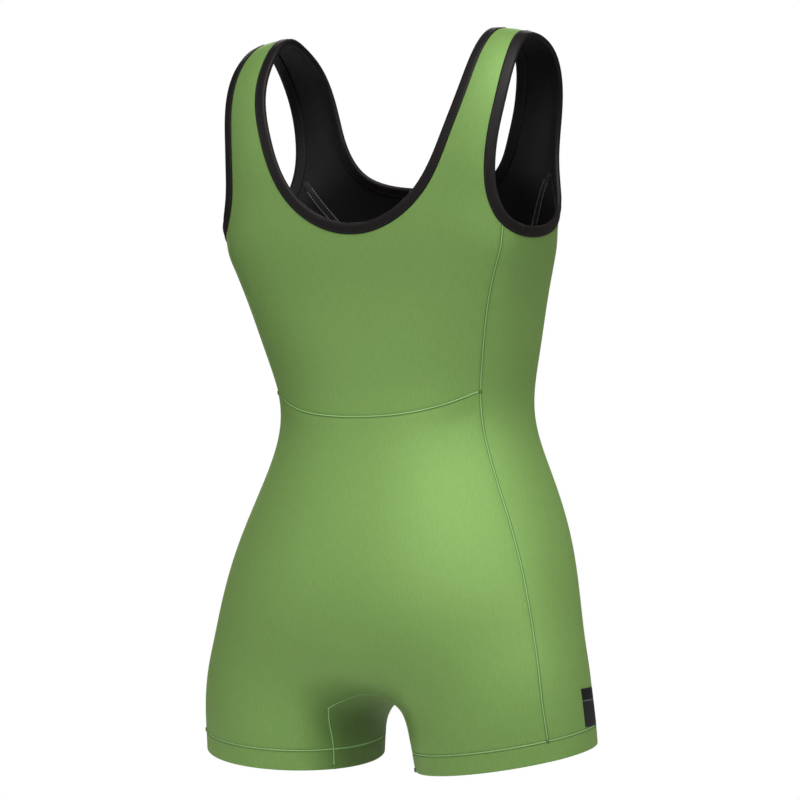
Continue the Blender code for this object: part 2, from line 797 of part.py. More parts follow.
label_points = []
for height in (EDGE_CLEAR, EDGE_CLEAR + LABEL_THICK):
    for row_at in LABEL_ROWS:
        for column_at in LABEL_COLUMNS:
            base, up = surface_at(column_at, BAND_ROW + row_at)
            label_points.append(base + up * height)
label_points = np.array(label_points)
wide, tall = len(LABEL_COLUMNS), len(LABEL_ROWS)
layer = wide * tall
label_faces = []
border = {}
for row_at in range(tall - 1):
    for column_at in range(wide - 1):
        corner = row_at * wide + column_at
        corners = (corner, corner + 1, corner + wide + 1, corner + wide)
        for piece in triangles(corners, shorter(corners, label_points)):
            label_faces.append(piece)
            label_faces.append(tuple(point + layer for point in piece[::-1]))
        for start, end in zip(corners, corners[1:] + corners[:1]):
            if (end, start) in border:
                del border[(end, start)]
            else:
                border[(start, end)] = True
for start, end in border:
    label_faces.append((start, start + layer, end + layer, end))
make("label", INK, 0.6, label_points, label_faces)
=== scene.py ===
import math

import bmesh
import bpy
import numpy as np
from mathutils import Matrix, Vector
from mathutils.bvhtree import BVHTree


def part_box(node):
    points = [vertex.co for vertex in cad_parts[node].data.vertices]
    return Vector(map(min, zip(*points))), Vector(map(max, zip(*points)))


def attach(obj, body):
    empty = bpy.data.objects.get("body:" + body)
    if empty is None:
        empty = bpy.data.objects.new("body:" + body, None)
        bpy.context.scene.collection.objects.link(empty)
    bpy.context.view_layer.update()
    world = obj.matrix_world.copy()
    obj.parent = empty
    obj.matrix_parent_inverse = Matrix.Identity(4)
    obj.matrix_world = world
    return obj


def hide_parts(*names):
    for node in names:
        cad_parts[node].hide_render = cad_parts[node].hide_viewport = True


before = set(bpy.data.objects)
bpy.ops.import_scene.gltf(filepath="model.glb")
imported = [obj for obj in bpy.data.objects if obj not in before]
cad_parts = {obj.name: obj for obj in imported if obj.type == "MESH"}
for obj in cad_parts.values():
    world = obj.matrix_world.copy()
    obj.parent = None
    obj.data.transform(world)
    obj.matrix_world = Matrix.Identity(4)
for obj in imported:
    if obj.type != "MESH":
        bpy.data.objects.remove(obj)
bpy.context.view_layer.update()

# The studio: a white room, a pale round floor well below the hem, large soft lights, and five soft
# spots aimed at the suit. The camera stands behind the suit's right side, at half its height and
# about four metres off, for the photo's viewing angle.
CAMERA_TURN = math.radians(210)
CAMERA_FAR = 4.2
CAMERA_LEVEL = -0.3454
CAMERA_RIGHT = 0.00796
CAMERA_ROLL = math.radians(-0.5)
CAMERA_LENS = 201.9
FLOOR_LEVEL = -0.83
FLOOR_RADIUS = 1.1
WHITE = (1, 1, 1, 1)
bpy.context.scene.view_settings.view_transform = "Standard"
away = Vector((math.sin(CAMERA_TURN), -math.cos(CAMERA_TURN), 0))
across = Vector((math.cos(CAMERA_TURN), math.sin(CAMERA_TURN), 0))


def stand(name, data, material=None):
    """An object in the scene, with its material if it has one."""
    made = bpy.data.objects.new(name, data)
    bpy.context.scene.collection.objects.link(made)
    if material is not None:
        data.materials.append(material)
    return made


camera = stand("camera", bpy.data.cameras.new("camera"))
camera.data.lens = CAMERA_LENS
camera.location = away * CAMERA_FAR + across * CAMERA_RIGHT + Vector((0, 0, CAMERA_LEVEL))
level_view = away.to_track_quat("Z", "Y").to_matrix()
camera.rotation_euler = (level_view @ Matrix.Rotation(CAMERA_ROLL, 3, "Z")).to_euler()
bpy.context.scene.camera = camera


class Wire:
    """A socket in a material. Sums on it add Math nodes, and node() adds any other node."""

    def __init__(self, tree, socket=None):
        self.tree = tree
        self.socket = socket

    def node(self, kind, settings=None, inputs=None, output=0):
        made = self.tree.nodes.new("ShaderNode" + kind)
        for name, value in (settings or {}).items():
            if name == "stops":
                ramp = made.color_ramp
                while len(ramp.elements) < len(value):
                    ramp.elements.new(1)
                for element, (place, colour) in zip(ramp.elements, value):
                    element.position = place
                    element.color = colour
            else:
                setattr(made, name, value)
        for name, value in (inputs or {}).items():
            if isinstance(value, Wire):
                self.tree.links.new(value.socket, made.inputs[name])
            else:
                made.inputs[name].default_value = value
        return Wire(self.tree, made.outputs[output])

    def math(self, operation, first, second=0.0):
        return self.node("Math", {"operation": operation}, {0: first, 1: second})

    def __add__(self, other):
        return self.math("ADD", self, other)

    def __radd__(self, other):
        return self.math("ADD", other, self)

    def __sub__(self, other):
        return self.math("SUBTRACT", self, other)

    def __rsub__(self, other):
        return self.math("SUBTRACT", other, self)

    def __mul__(self, other):
        return self.math("MULTIPLY", self, other)

    def __rmul__(self, other):
        return self.math("MULTIPLY", other, self)

    def part(self, name):
        """X, Y or Z of a vector."""
        return self.node("SeparateXYZ", None, {0: self}, name)

    def mixed(self, colour, other):
        """Between two colours, by this number."""
        return self.node("Mix", {"data_type": "RGBA"}, {0: self, 6: colour, 7: other}, 2)


def new_material(name, **surface):
    """A material with the named Principled sockets set, its node tree as a Wire, and its shader."""
    made = bpy.data.materials.new(name)
    made.use_nodes = True
    shader = made.node_tree.nodes["Principled BSDF"]
    for socket, value in surface.items():
        shader.inputs[socket.replace("_", " ")].default_value = value
    return made, Wire(made.node_tree), shader


def feed(shader, **wires):
    """Links wires to the shader's sockets."""
    for socket, wire in wires.items():
        wire.tree.links.new(wire.socket, shader.inputs[socket.replace("_", " ")])


room = bpy.data.worlds.new("room")
room.use_nodes = True
bpy.context.scene.world = room
air = Wire(room.node_tree)
lit = air.node("Background", None, {"Color": WHITE, "Strength": 0.12})
seen = air.node("Background", None, {"Color": WHITE, "Strength": 1.0})
direct = air.node("LightPath", output="Is Camera Ray")
either = air.node("MixShader", None, {0: direct, 1: lit, 2: seen})
room.node_tree.links.new(either.socket, room.node_tree.nodes["World Output"].inputs[0])

# Each soft light: turn round the suit from the camera's side, height, distance, size and watts.
# Each spot: the same, then its beam, and where it points across the view and in height.
SOFT_LIGHTS = (
    ("key", 4, 1.6, 1.0, 1.4, 43),
    ("right", 70, 1.5, 1.9, 1.0, 11),
    ("left", -70, 0.7, 2.2, 1.2, 9),
    ("front", 180, 0.9, 2.2, 1.4, 24),
)
SPOTS = (
    ("right_hip", 40, 1.0, 2.2, 0.7, 85, 16, 0.10, -0.525),
    ("left_hip", -24, 1.0, 2.2, 0.7, 170, 16, -0.09, -0.50),
    ("waist", 16, 1.0, 2.2, 0.6, 48, 13, 0.06, -0.38),
    ("side", 62, 0.6, 2.2, 0.7, 90, 15, 0.13, -0.42),
    ("strap", 30, 0.9, 2.2, 0.4, 26, 9, 0.08, -0.07),
)


def aim(name, lamp, turn, height, far, target):
    """Hangs a lamp round the suit, facing a point of it."""
    heading = CAMERA_TURN + math.radians(turn)
    light = stand(name, lamp)
    light.location = (math.sin(heading) * far, -math.cos(heading) * far, CAMERA_LEVEL + height)
    light.rotation_euler = (light.location - target).to_track_quat("Z", "Y").to_euler()


for name, turn, height, far, size, watts in SOFT_LIGHTS:
    lamp = bpy.data.lights.new(name, "AREA")
    lamp.energy = watts
    lamp.size = size
    aim(name, lamp, turn, height, far, Vector((0, 0, CAMERA_LEVEL)))
for name, turn, height, far, size, watts, beam, sideways, level in SPOTS:
    lamp = bpy.data.lights.new(name, "SPOT")
    lamp.energy = watts
    lamp.shadow_soft_size = size / 2
    lamp.spot_size = math.radians(beam)
    lamp.spot_blend = 1
    aim(name, lamp, turn, height, far, across * sideways + Vector((0, 0, level)))

ground = bmesh.new()
bmesh.ops.create_circle(ground, cap_ends=True, segments=96, radius=FLOOR_RADIUS)
bmesh.ops.translate(ground, verts=ground.verts, vec=(0, 0, FLOOR_LEVEL))
floor_mesh = bpy.data.meshes.new("floor")
ground.to_mesh(floor_mesh)
ground.free()
pale, _, _ = new_material("pale_floor", Base_Color=(0.93, 0.93, 0.92, 1), Roughness=0.9)
stand("floor", floor_mesh, pale)

# The cloth: neoprene foam with a thin green jersey outside and a black one inside. All panels
# are first one smooth skin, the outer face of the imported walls, so that they flow over the seams.
WALL = 0.0025
MERGE = 0.00001
SEAM_WELD = 0.0012
SEAM_TURN = math.radians(60)
SKIN_ROUNDS = 2
JOIN_FLAT = math.radians(50)
JOIN_SQUARE = math.radians(60)
PANELS = ("back_bodice", "back_lower", "front_panel", "side_panel_left", "side_panel_right",
          "gusset", "leg_band_left", "leg_band_right")
BODY_LINES = ((Vector((0, -0.02, -0.05)), Vector((0, -0.02, -0.58))),
              (Vector((0.114, -0.01, -0.60)), Vector((0.114, -0.01, -0.71))),
              (Vector((-0.114, -0.01, -0.60)), Vector((-0.114, -0.01, -0.71))))


def from_middle(point):
    """The way from the nearest of the body's middle lines to a point."""
    ways = []
    for start, end in BODY_LINES:
        run = end - start
        share = min(max((point - start).dot(run) / run.length_squared, 0), 1)
        ways.append(point - (start + run * share))
    return min(ways, key=lambda way: way.length)


def islands(work):
    """The connected groups of faces of a mesh."""
    left = set(work.faces)
    found = []
    while left:
        group = {left.pop()}
        waiting = list(group)
        while waiting:
            for edge in waiting.pop().edges:
                for other in edge.link_faces:
                    if other in left:
                        left.discard(other)
                        group.add(other)
                        waiting.append(other)
        found.append(group)
    return found


def outer_sheet(node):
    """A packed wall's outer face, as an open sheet."""
    sheet = bmesh.new()
    sheet.from_mesh(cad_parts[node].data)
    bmesh.ops.remove_doubles(sheet, verts=sheet.verts, dist=MERGE)
    turned = [edge for edge in sheet.edges if edge.calc_face_angle(0) > SEAM_TURN]
    bmesh.ops.split_edges(sheet, edges=turned)
    facing = []
    for group in islands(sheet):
        out = sum(face.calc_area() * face.normal.dot(from_middle(face.calc_center_median()))
                  for face in group)
        facing.append((out, group))
    kept = max(facing, key=lambda pair: pair[0])[1]
    bmesh.ops.delete(sheet, geom=[face for face in sheet.faces if face not in kept], context="FACES")
    return sheet


def carry(work, into):
    """Adds one mesh to another and frees it."""
    carried = bpy.data.meshes.new("carried")
    work.to_mesh(carried)
    work.free()
    into.from_mesh(carried)
    bpy.data.meshes.remove(carried)


def smoothed(work, rounds):
    """The mesh after rounds of subdivision."""
    carrier = stand("carrier", bpy.data.meshes.new("carrier"))
    work.to_mesh(carrier.data)
    work.free()
    for _ in PANELS:
        carrier.data.materials.append(None)
    finer = carrier.modifiers.new("finer", "SUBSURF")
    finer.levels = finer.render_levels = rounds
    shaped = carrier.evaluated_get(bpy.context.evaluated_depsgraph_get())
    fine = bmesh.new()
    fine.from_mesh(shaped.to_mesh())
    shaped.to_mesh_clear()
    mesh = carrier.data
    bpy.data.objects.remove(carrier)
    bpy.data.meshes.remove(mesh)
    return fine


skin = bmesh.new()
for number, panel in enumerate(PANELS):
    sheet = outer_sheet(panel)
    for face in sheet.faces:
        face.material_index = number
    carry(sheet, skin)
bmesh.ops.remove_doubles(skin, verts=skin.verts, dist=SEAM_WELD)
bmesh.ops.join_triangles(skin, faces=skin.faces, cmp_materials=True,
                         angle_face_threshold=JOIN_FLAT, angle_shape_threshold=JOIN_SQUARE)
skin = smoothed(skin, SKIN_ROUNDS)
skin.normal_update()
outward = skin.verts.layers.float_vector.new("outward")
for vert in skin.verts:
    vert[outward] = vert.normal

# The skin's shape between the seams. It dips a little into each seam, and has a few soft creases
# where the cloth folds at the crotch and eases under the arms and at the waist. Each is laid on
# both sides, and fades from the middle of its length to a fainter start and end.
SEAM_DIP = 0.0004
HEM_BELOW = -0.6
CREASE_FADE_FROM = 0.12
CREASE_FADE_RUN = 0.76
CREASES = (
    # from (x, y, z), to (x, y, z), depth, half width, all in millimetres
    ((35, 47, -634), (10, 46, -624), 2.0, 3.8),
    ((35, 47, -642), (20, 46, -634), 1.1, 3.6),
    ((31, 50, -627), (14, 50, -618), -0.8, 4.0),
    ((33, 52, -622), (70, 68, -606), 0.8, 7.0),
    ((26, 56, -612), (52, 72, -596), -0.5, 6.0),
    ((38, -72, -640), (18, -66, -622), 0.8, 5.0),
    ((30, -78, -628), (66, -92, -612), 0.6, 7.5),
    ((158, 30, -200), (146, 38, -226), 0.7, 6.0),
    ((150, -48, -176), (132, -66, -200), 0.6, 6.5),
    ((112, 26, -330), (136, 6, -352), 0.5, 8.0),
    ((108, 30, -352), (82, 44, -372), 0.6, 9.0),
    ((96, -62, -345), (60, -80, -368), 0.5, 9.0),
)
for edge in skin.edges:
    if len({face.material_index for face in edge.link_faces}) == 2:
        for vert in edge.verts:
            vert.tag = True
places = np.array([vert.co for vert in skin.verts])
dips = np.array([SEAM_DIP if vert.tag else 0.0 for vert in skin.verts])
for start, end, depth, spread in CREASES:
    for side in (-1, 1):
        first = np.array(start) * (side, 1, 1) / 1000
        run = np.array(end) * (side, 1, 1) / 1000 - first
        share = np.clip((places - first) @ run / (run @ run), 0, 1)
        gap = np.linalg.norm(places - first - share[:, None] * run, axis=1)
        fade = np.sin(math.pi * (CREASE_FADE_FROM + CREASE_FADE_RUN * share))
        dips += depth / 1000 * fade * np.exp(-(gap / (spread / 1000)) ** 2)
for vert, dip in zip(skin.verts, dips):
    vert.co -= vert.normal * dip
hem = skin.verts.layers.int.new("hem")
for edge in skin.edges:
    if edge.is_boundary and edge.verts[0].co.z < HEM_BELOW:
        for vert in edge.verts:
            vert[hem] = 1
skin_tree = BVHTree.FromBMesh(skin)
skin.faces.ensure_lookup_table()


def skin_at(point):
    """The nearest place on the skin, with the skin's smooth normal there."""
    place, _, index, _ = skin_tree.find_nearest(point)
    normal = Vector()
    for vert in skin.faces[index].verts:
        normal += vert[outward] / ((vert.co - place).length + MERGE)
    return place, normal.normalized()


# A knit's wales run up the cloth, so each panel has a flat map in metres, seen from its own side.
KNIT_PITCH = 0.0009
LEG_MIDDLE = (0.112, -0.013)
LEG_RADIUS = 0.085


def map_cloth(work, panel):
    """Lays the cloth's map on a panel: across it and up it, in metres."""
    layer = work.loops.layers.uv.new("cloth")
    for face in work.faces:
        round_leg = []
        for loop in face.loops:
            at = loop.vert.co
            if panel.startswith("leg"):
                middle = math.copysign(LEG_MIDDLE[0], at.x)
                turn = math.atan2(at.x - middle, LEG_MIDDLE[1] - at.y)
                round_leg.append(turn)
                if turn - round_leg[0] > math.pi:
                    turn -= math.tau
                if turn - round_leg[0] < -math.pi:
                    turn += math.tau
                across_it = turn * LEG_RADIUS
            else:
                across_it = at.x if panel in ("back_bodice", "back_lower", "front_panel") else at.y
            loop[layer].uv = (across_it, at.z)


# How dense the knit's streaks are across and up the cloth, its flecks and its slow unevenness, and
# where the painted shade between the thighs starts and is full, from the middle and in height.
STREAK_ACROSS = 620.0
STREAK_UP = 110.0
FLECK_DENSE = 900.0
SLOW_DENSE = 7.0
THIGH_SHADE_ACROSS = (0.068, 0.030)
THIGH_SHADE_LEVELS = (-0.595, -0.645)
KNIT_DEEP = 0.0002


def jersey(name, colour, tint, depth, painted_shade=None, **surface):
    """A fine warp-knit face: wales, flecks, a slow unevenness, and a painted shade, darker green between the
    thighs.
    """
    material, tree, shader = new_material(name, **surface)
    flat = tree.node("UVMap", {"uv_map": "cloth"})
    space = tree.node("TexCoord", output="Object")
    u, v = flat.part("X"), flat.part("Y")
    wale = tree.math("SINE", u * (math.tau / KNIT_PITCH))
    grain = tree.node("CombineXYZ", None, {0: u * STREAK_ACROSS, 1: v * STREAK_UP})
    streak = tree.node("TexNoise", None, {"Vector": grain, "Scale": 1.0, "Detail": 2.0}, "Fac")
    fleck = tree.node("TexNoise", None, {"Vector": space, "Scale": FLECK_DENSE, "Detail": 2.0}, "Fac")
    slow = tree.node("TexNoise", None, {"Vector": space, "Scale": SLOW_DENSE, "Detail": 1.0}, "Fac")
    shade = 0.5 + (slow - 0.5) * 0.5 + (streak - 0.5) * 0.8 + (fleck - 0.5) * 0.4
    shade = shade.mixed(colour, tint)
    # Painted shade: the green darkens between the thighs and low down, where shade falls.
    if painted_shade is not None:
        side = tree.math("ABSOLUTE", space.part("X"))
        inward = tree.node("MapRange", {"interpolation_type": "SMOOTHSTEP"},
                           {0: side, 1: THIGH_SHADE_ACROSS[0], 2: THIGH_SHADE_ACROSS[1], 3: 0.0, 4: 1.0})
        low = tree.node("MapRange", {"interpolation_type": "SMOOTHSTEP"},
                        {0: space.part("Z"), 1: THIGH_SHADE_LEVELS[0], 2: THIGH_SHADE_LEVELS[1], 3: 0.0, 4: 1.0})
        shade = (inward * low).mixed(shade, painted_shade)
    feed(shader, Base_Color=shade)
    height = wale * 0.15 + (streak - 0.5) * 1.6 + (fleck - 0.5) * 1.0
    bump = {"Strength": depth, "Distance": KNIT_DEEP, "Height": height}
    feed(shader, Normal=tree.node("Bump", None, bump))
    return material


GREEN_LOW = (0.116, 0.222, 0.052, 1)
GREEN_HIGH = (0.162, 0.286, 0.080, 1)
# A darker green painted as shade between the thighs.
GREEN_PAINTED_SHADE = (0.055, 0.112, 0.024, 1)
green = jersey("green_jersey", GREEN_LOW, GREEN_HIGH, 0.26, GREEN_PAINTED_SHADE, Roughness=0.6, Metallic=0.3,
               Specular_IOR_Level=0.5, Specular_Tint=(0.85, 1, 0.6, 1), Sheen_Weight=0.08,
               Sheen_Roughness=0.5, Sheen_Tint=(0.7, 0.65, 0.3, 1))
BLACK_LOW = (0.0025, 0.0025, 0.003, 1)
BLACK_HIGH = (0.006, 0.006, 0.007, 1)
black = jersey("black_jersey", BLACK_LOW, BLACK_HIGH, 0.35, Roughness=0.6, Specular_IOR_Level=0.22)

# The panels: each is cut from the skin, given the foam's thickness inwards along the skin's own
# normals, and butted to the next at its seam. A real leg band is turned up, so it shows green
# inside too. Here it is one wall, with its fold's round edge.
HEM_ROUND = 0.0012
for number, panel in enumerate(PANELS):
    wall = skin.copy()
    others = [face for face in wall.faces if face.material_index != number]
    bmesh.ops.delete(wall, geom=others, context="FACES")
    map_cloth(wall, panel)
    layer = wall.verts.layers.float_vector["outward"]
    made = bmesh.ops.extrude_face_region(wall, geom=wall.faces[:], use_keep_orig=True)["geom"]
    inner = {item for item in made if isinstance(item, bmesh.types.BMVert)}
    for vert in inner:
        vert.co -= Vector(vert[layer]) * WALL
    for face in wall.faces:
        face.material_index = 1 if inner.issuperset(face.verts) else 0
        face.smooth = True
    bmesh.ops.recalc_face_normals(wall, faces=wall.faces)
    hem = wall.verts.layers.int["hem"]
    rims = [edge for edge in wall.edges
            if edge.verts[0][hem] and edge.verts[1][hem] and edge.calc_face_angle(0) > SEAM_TURN]
    if rims:
        bmesh.ops.bevel(wall, geom=rims, offset=HEM_ROUND, offset_type="OFFSET", affect="EDGES",
                        segments=3, profile=0.5, material=-1)
    for edge in wall.edges:
        edge.smooth = edge.calc_face_angle(0) < SEAM_TURN
    mesh = bpy.data.meshes.new(panel + "_cloth")
    wall.to_mesh(mesh)
    wall.free()
    piece = stand(panel + "_cloth", mesh, green)
    mesh.materials.append(green if panel.startswith("leg") else black)
    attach(piece, "root")
    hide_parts(panel)

# The seams: panels glued edge to edge, then flat sewn. Outside each shows a narrow raised cord
# of thread between two grooves, with short stitches on both sides, and inside a flat tape. The
# grooves are painted shade in dark green, the cord's lighter green is partly a painted highlight,
# and the stitches' darker green is partly painted shade of the needle holes.
SEAM_PITCH = 0.0025
SEAM_CORD = ((-1.45, -0.35), (-1.4, 0.03), (-0.62, 0.03), (-0.5, 0.26), (-0.25, 0.4), (0.1, 0.43),
             (0.4, 0.3), (0.52, 0.03), (1.4, 0.03), (1.45, -0.35), (0, -0.4))
SEAM_TAPE = ((-3.2, -2.3), (-3.2, -2.75), (-2.6, -2.9), (2.6, -2.9), (3.2, -2.75), (3.2, -2.3))
STITCH_PITCH = 0.0026
STITCH_SIDE = 0.0018
STITCH = (0.00062, 0.00042, 0.00026)
STITCH_RISE = 0.00006
CORD_RISE = 0.0001
SEAMS = (
    # name, panels on one side, panels on the other
    ("waist_seam", ("back_bodice",), ("back_lower",)),
    ("rear_seam_left", ("back_bodice", "back_lower"), ("side_panel_left",)),
    ("rear_seam_right", ("back_bodice", "back_lower"), ("side_panel_right",)),
    ("front_seam_left", ("front_panel",), ("side_panel_left",)),
    ("front_seam_right", ("front_panel",), ("side_panel_right",)),
    ("gusset_seam_back", ("gusset",), ("back_lower",)),
    ("gusset_seam_front", ("gusset",), ("front_panel",)),
    ("shoulder_seams", ("back_bodice",), ("front_panel",)),
    ("band_seam_left", ("back_lower", "front_panel", "side_panel_left", "gusset"), ("leg_band_left",)),
    ("band_seam_right", ("back_lower", "front_panel", "side_panel_right", "gusset"), ("leg_band_right",)),
)


def ordered(edges):
    """Edges as runs of vertices, end to end. A closed run ends on the vertex it starts from."""
    left = dict.fromkeys(sorted(edges, key=lambda edge: edge.index))
    runs = []
    while left:
        ends = [vert for edge in left for vert in edge.verts
                if sum(other in left for other in vert.link_edges) == 1]
        vert = ends[0] if ends else next(iter(left)).verts[0]
        run = [vert]
        while True:
            ahead = [edge for edge in vert.link_edges if edge in left]
            if not ahead:
                break
            del left[ahead[0]]
            vert = ahead[0].other_vert(vert)
            run.append(vert)
        runs.append(run)
    return runs


class Line:
    """A line on the skin in even steps, each with its place, way along, way across and normal."""

    def __init__(self, points, pitch):
        points = np.array([tuple(point) for point in points])
        far = np.concatenate([[0], np.cumsum(np.linalg.norm(np.diff(points, axis=0), axis=1))])
        self.length = far[-1]
        self.steps = max(2, round(self.length / pitch))
        spots = np.linspace(0, self.length, self.steps + 1)
        self.closed = np.linalg.norm(points[0] - points[-1]) < MERGE
        self.places = [Vector(spot) for spot in
                       np.stack([np.interp(spots, far, column) for column in points.T], axis=1)]
        self.ups = [skin_at(place)[1] for place in self.places]
        self.alongs = []
        for step in range(self.steps + 1):
            before, after = step - 1, step + 1
            if self.closed:
                before, after = before % self.steps, after % self.steps
            ahead = self.places[min(after, self.steps)] - self.places[max(before, 0)]
            self.alongs.append(ahead.normalized())

    def across(self, step):
        return self.alongs[step].cross(self.ups[step]).normalized()

    def at(self, step, side, height):
        """The point to one side of the line and above the skin."""
        place, up = skin_at(self.places[step] + self.across(step) * side)
        return place + up * height


def bent_grid(wide, long, place, pitch):
    """Squares bent so that corner i, j is at place(i, j), with a cloth map in metres."""
    work = bmesh.new()
    layer = work.loops.layers.uv.new("cloth")
    bmesh.ops.create_grid(work, x_segments=wide, y_segments=long, size=0.5)
    for vert in work.verts:
        i = round((vert.co.x + 0.5) * wide)
        j = round((vert.co.y + 0.5) * long)
        for loop in vert.link_loops:
            loop[layer].uv = (i * pitch[0], j * pitch[1])
        vert.co = place(i, j)
    return work


def swept(line, outline, place=None):
    """A closed outline of (side, height) in millimetres, taken along a line."""
    place = place or (lambda step, side, height: line.at(step, side, height))
    ring = tuple(outline) + (outline[0],)
    work = bent_grid(len(outline), line.steps,
                     lambda i, j: place(j, ring[i][0] / 1000, ring[i][1] / 1000),
                     (0.001, line.length / line.steps))
    bmesh.ops.remove_doubles(work, verts=work.verts, dist=MERGE)
    ends = [edge for edge in work.edges if edge.is_boundary]
    if ends:
        bmesh.ops.holes_fill(work, edges=ends, sides=0)
    bmesh.ops.recalc_face_normals(work, faces=work.faces)
    for face in work.faces:
        face.smooth = True
    return work


def stitch_row(work, line, side, height, size, crosswise=False):
    """Small thread beads beside a line, one to a step."""
    for step in range(line.steps + (0 if line.closed else 1)):
        along, up = line.alongs[step], line.ups[step]
        turn = Matrix((line.across(step), along, up)).transposed()
        if crosswise:
            turn = Matrix((along, -line.across(step), up)).transposed()
        bead = Matrix.LocRotScale(line.at(step, side, height), turn, Vector((size[1], size[0], size[2])))
        bmesh.ops.create_icosphere(work, subdivisions=1, radius=1, matrix=bead)


def finish_piece(name, work, materials, replaced=()):
    """A finished mesh as a piece of the suit."""
    mesh = bpy.data.meshes.new(name)
    work.to_mesh(mesh)
    work.free()
    piece = stand(name, mesh)
    for material in materials:
        mesh.materials.append(material)
    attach(piece, "root")
    if replaced:
        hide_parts(*replaced)
    return piece


TWIST_DENSE = 1600.0
PATCH_DENSE = 60.0
TWIST_DEEP = 0.0001


def thread(name, colour, tint, roughness):
    """Spun thread: close twists over an uneven shade."""
    material, tree, shader = new_material(name, Roughness=roughness, Specular_IOR_Level=0.35)
    space = tree.node("TexCoord", output="Object")
    twist = tree.node("TexNoise", None, {"Vector": space, "Scale": TWIST_DENSE, "Detail": 1.0}, "Fac")
    patch = tree.node("TexNoise", None, {"Vector": space, "Scale": PATCH_DENSE, "Detail": 2.0}, "Fac")
    feed(shader, Base_Color=(twist * 0.6 + patch * 0.4).mixed(colour, tint))
    bump = {"Strength": 0.4, "Distance": TWIST_DEEP, "Height": twist}
    feed(shader, Normal=tree.node("Bump", None, bump))
    return material


# Partly painted highlight: the cord's thread is a lighter green than the cloth, standing in for the light
# along its ridge.
cord_thread_and_highlight = thread("seam_thread_and_highlight", (0.15, 0.29, 0.08, 1), (0.27, 0.42, 0.16, 1), 0.55)
# Painted shade: the grooves beside each seam's cord are coloured dark green. The knots take the same dark
# thread as their own colour.
knot_thread_and_groove_shade = thread("knot_thread_and_groove_shade", (0.045, 0.125, 0.022, 1), (0.085, 0.19, 0.042, 1), 0.7)
# Partly painted shade: the stitches' thread is a darker green, standing in for the shade of the needle
# holes.
stitch_thread_and_hole_shade = thread("stitch_thread_and_hole_shade", (0.045, 0.12, 0.022, 1), (0.12, 0.25, 0.065, 1), 0.6)
black_tape = thread("black_tape", (0.003, 0.003, 0.003, 1), (0.008, 0.008, 0.009, 1), 0.6)

skin.edges.index_update()


def sew(name, runs):
    """A seam's cord, grooves, stitches and inside tape, as one piece."""
    whole = bmesh.new()
    for run in runs:
        line = Line(run, SEAM_PITCH)
        cord = swept(line, SEAM_CORD)
        for face in cord.faces:
            middle = face.calc_center_median()
            place, up = skin_at(middle)
            # The cord's low faces beside the ridge take the grooves' painted shade.
            face.material_index = 1 if (middle - place).dot(up) < CORD_RISE else 0
        carry(cord, whole)
        tape = swept(line, SEAM_TAPE)
        for face in tape.faces:
            face.material_index = 3
        carry(tape, whole)
        rows = bmesh.new()
        stitch_line = Line(run, STITCH_PITCH)
        for side in (-STITCH_SIDE, STITCH_SIDE):
            stitch_row(rows, stitch_line, side, STITCH_RISE, STITCH, crosswise=True)
        for face in rows.faces:
            face.material_index = 2
        carry(rows, whole)
    materials = (cord_thread_and_highlight, knot_thread_and_groove_shade, stitch_thread_and_hole_shade, black_tape)
    finish_piece(name, whole, materials)


for name, one, other in SEAMS:
    edges = []
    for edge in skin.edges:
        sides = [PANELS[face.material_index] for face in edge.link_faces]
        if len(sides) == 2 and (sides[0] in one and sides[1] in other or
                                sides[1] in one and sides[0] in other):
            edges.append(edge)
    runs = [[vert.co for vert in run] for run in ordered(edges)]
    sew(name, runs)
    if name == "waist_seam":
        knots = [run[end] for run in runs for end in (0, -1)]
    if name.startswith("rear"):
        knots.append(min(runs[0][0], runs[0][-1], key=lambda point: point.z))
    if name == "gusset_seam_back":
        closures = [run[end] for run in runs for end in (0, -1)]

# The closure of each leg band, and the knots: short runs of the same sewing, and the dark lumps
# of thread that lock a seam where it ends. A closure runs from the gusset's back corner towards
# the nearest place on the hem, and stops just above its rim.
CLOSURE_STEPS = 8
CLOSURE_SHARE = 0.88
KNOT_LUMPS = ((-0.0008, 0.0006), (0.0007, -0.0008), (0.0, 0.001))
KNOT_SIZE = Vector((0.0016, 0.0013, 0.0009))
KNOT_RISE = 0.0005
hem = skin.verts.layers.int["hem"]
hem_places = [vert.co.copy() for vert in skin.verts if vert[hem]]
for start in closures:
    end = min(hem_places, key=lambda place: (place - start).length)
    path = [skin_at(start.lerp(end, CLOSURE_SHARE * step / CLOSURE_STEPS))[0]
            for step in range(CLOSURE_STEPS + 1)]
    sew("band_closure_" + ("left" if start.x > 0 else "right"), [path])
    knots.append(path[-1])
lumps = bmesh.new()
for knot in knots:
    place, up = skin_at(knot)
    turn = up.to_track_quat("Z", "Y").to_matrix()
    for slide, slip in KNOT_LUMPS:
        at = place + turn @ Vector((slide, slip, KNOT_RISE))
        bmesh.ops.create_icosphere(lumps, subdivisions=2, radius=1,
                                   matrix=Matrix.LocRotScale(at, turn, KNOT_SIZE))
for face in lumps.faces:
    face.smooth = True
finish_piece("seam_knots", lumps, (knot_thread_and_groove_shade,))

# The front darts: each is a green seam on the outside, straight in the front view from the
# armhole's binding towards the bust, with a dotted row of grey thread on the lining at each side.
DART_OUT = 0.135
DART_DOWN = 0.135
DART_IN_BY = 0.035
DART_DOWN_BY = 0.055
DART_STEPS = 6
DART_ROW_SHARES = (0.15, 0.85)
DART_ROW_SIDE = 0.003
DART_FRONT = -0.25
DART_STITCH = (0.0009, 0.00045, 0.0004)
DART_HEIGHT = -0.0031
grey_thread = thread("lining_thread", (0.14, 0.14, 0.15, 1), (0.32, 0.32, 0.33, 1), 0.6)
dart_rows = bmesh.new()


